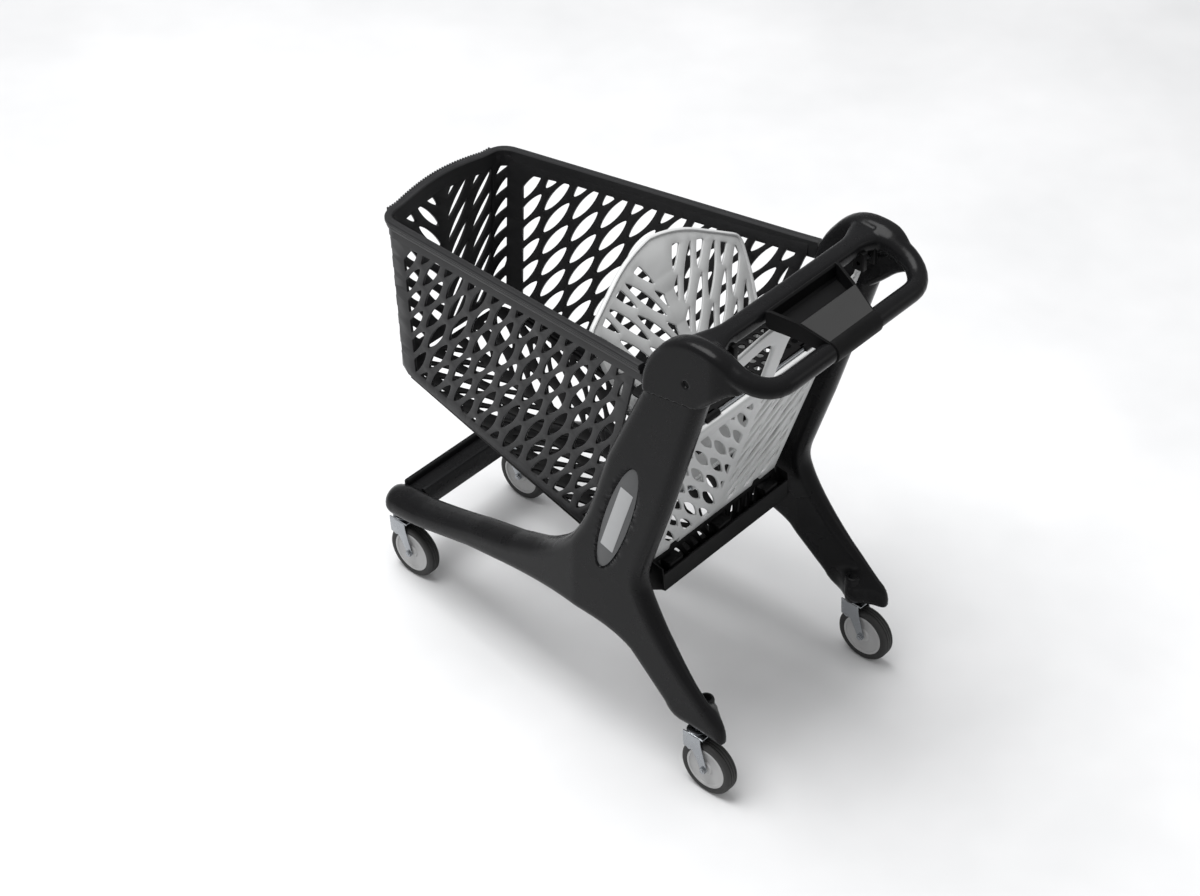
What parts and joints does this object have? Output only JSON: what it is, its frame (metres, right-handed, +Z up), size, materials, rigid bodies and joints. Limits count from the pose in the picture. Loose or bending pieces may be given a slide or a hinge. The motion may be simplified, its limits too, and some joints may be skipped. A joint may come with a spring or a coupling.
{
  "type": "supermarket trolley",
  "caption": "Plastic shopping trolley with a slotted basket, a swinging rear gate, a folding child seat, a looped handle with a tray, and swivel casters.",
  "frame": {"origin": "on the floor, under the middle of the whole cart's box", "axes": "+Y is the way the cart is pushed, +X is to the right of the person pushing, +Z is up"},
  "size_m": [0.572, 1.08, 1.085],
  "materials": {
    "black_plastic": "satin moulded polypropylene, near black",
    "dark_plastic": "moulded polypropylene, black, in shadow",
    "pale_plastic": "satin moulded polypropylene, light grey",
    "badge_grey": "satin grey insert",
    "wheel_grey": "moulded grey nylon",
    "zinc_steel": "bright zinc plated steel",
    "tyre_rubber": "dark grooved rubber tread"
  },
  "bodies": {
    "chassis": {"side_frame_left": "black_plastic", "side_frame_right": "black_plastic", "front_cross_member": "black_plastic", "frame_bolts": "zinc_steel", "badge_left": "badge_grey", "badge_right": "badge_grey", "basket_side_left": "black_plastic", "basket_side_right": "black_plastic", "basket_front": "black_plastic", "basket_floor": "dark_plastic", "rim_left": "black_plastic", "rim_right": "black_plastic", "rim_front": "black_plastic", "rim_bumper": "dark_plastic", "rear_sill": "dark_plastic", "handle_unit": "black_plastic", "tray": "dark_plastic", "tray_lid": "black_plastic", "cap_screws": "zinc_steel", "hinge_pins": "zinc_steel", "caster_stems": "zinc_steel", "stem_nuts": "zinc_steel"},
    "gate": {"gate_panel": "pale_plastic", "gate_hanger": "pale_plastic", "seat_back_pins": "zinc_steel", "seat_plate_rod": "zinc_steel"},
    "seat_back": {"seat_back": "pale_plastic"},
    "seat_plate": {"seat_plate": "dark_plastic"},
    "swivel_front_left": {"fork_front_left": "zinc_steel", "axle_bolt_front_left": "zinc_steel"},
    "roller_front_left": {"wheel_front_left": "wheel_grey", "tyre_front_left": "tyre_rubber", "bush_front_left": "wheel_grey"},
    "swivel_front_right": {"fork_front_right": "zinc_steel", "axle_bolt_front_right": "zinc_steel"},
    "roller_front_right": {"wheel_front_right": "wheel_grey", "tyre_front_right": "tyre_rubber", "bush_front_right": "wheel_grey"},
    "swivel_rear_left": {"fork_rear_left": "zinc_steel", "axle_bolt_rear_left": "zinc_steel"},
    "roller_rear_left": {"wheel_rear_left": "wheel_grey", "tyre_rear_left": "tyre_rubber", "bush_rear_left": "wheel_grey"},
    "swivel_rear_right": {"fork_rear_right": "zinc_steel", "axle_bolt_rear_right": "zinc_steel"},
    "roller_rear_right": {"wheel_rear_right": "wheel_grey", "tyre_rear_right": "tyre_rubber", "bush_rear_right": "wheel_grey"}
  },
  "joints": [
    {"name": "gate_swing", "type": "hinge", "parent": "chassis", "child": "gate", "pos_m": [0, -0.395, 1.028], "axis": [1, 0, 0], "range_deg": [0, 70]},
    {"name": "seat_back_fold", "type": "hinge", "parent": "gate", "child": "seat_back", "pos_m": [0, -0.258, 0.603], "axis": [1, 0, 0], "range_deg": [0, 38]},
    {"name": "seat_plate_fold", "type": "hinge", "parent": "gate", "child": "seat_plate", "pos_m": [0, -0.322, 0.824], "axis": [1, 0, 0], "range_deg": [0, 95]},
    {"name": "swivel_front_left", "type": "hinge", "parent": "chassis", "child": "swivel_front_left", "pos_m": [-0.1765, 0.503, 0.14], "axis": [0, 0, 1], "continuous": true},
    {"name": "roll_front_left", "type": "hinge", "parent": "swivel_front_left", "child": "roller_front_left", "pos_m": [-0.1765, 0.469, 0.0625], "axis": [1, 0, 0], "continuous": true},
    {"name": "swivel_front_right", "type": "hinge", "parent": "chassis", "child": "swivel_front_right", "pos_m": [0.1765, 0.503, 0.14], "axis": [0, 0, 1], "continuous": true},
    {"name": "roll_front_right", "type": "hinge", "parent": "swivel_front_right", "child": "roller_front_right", "pos_m": [0.1765, 0.469, 0.0625], "axis": [1, 0, 0], "continuous": true},
    {"name": "swivel_rear_left", "type": "hinge", "parent": "chassis", "child": "swivel_rear_left", "pos_m": [-0.26, -0.4, 0.14], "axis": [0, 0, 1], "continuous": true},
    {"name": "roll_rear_left", "type": "hinge", "parent": "swivel_rear_left", "child": "roller_rear_left", "pos_m": [-0.26, -0.434, 0.0625], "axis": [1, 0, 0], "continuous": true},
    {"name": "swivel_rear_right", "type": "hinge", "parent": "chassis", "child": "swivel_rear_right", "pos_m": [0.26, -0.4, 0.14], "axis": [0, 0, 1], "continuous": true},
    {"name": "roll_rear_right", "type": "hinge", "parent": "swivel_rear_right", "child": "roller_rear_right", "pos_m": [0.26, -0.434, 0.0625], "axis": [1, 0, 0], "continuous": true}
  ],
  "couplings": [
    {"joint": "seat_plate_fold", "follows": "seat_back_fold", "ratio": 2.5}
  ]
}
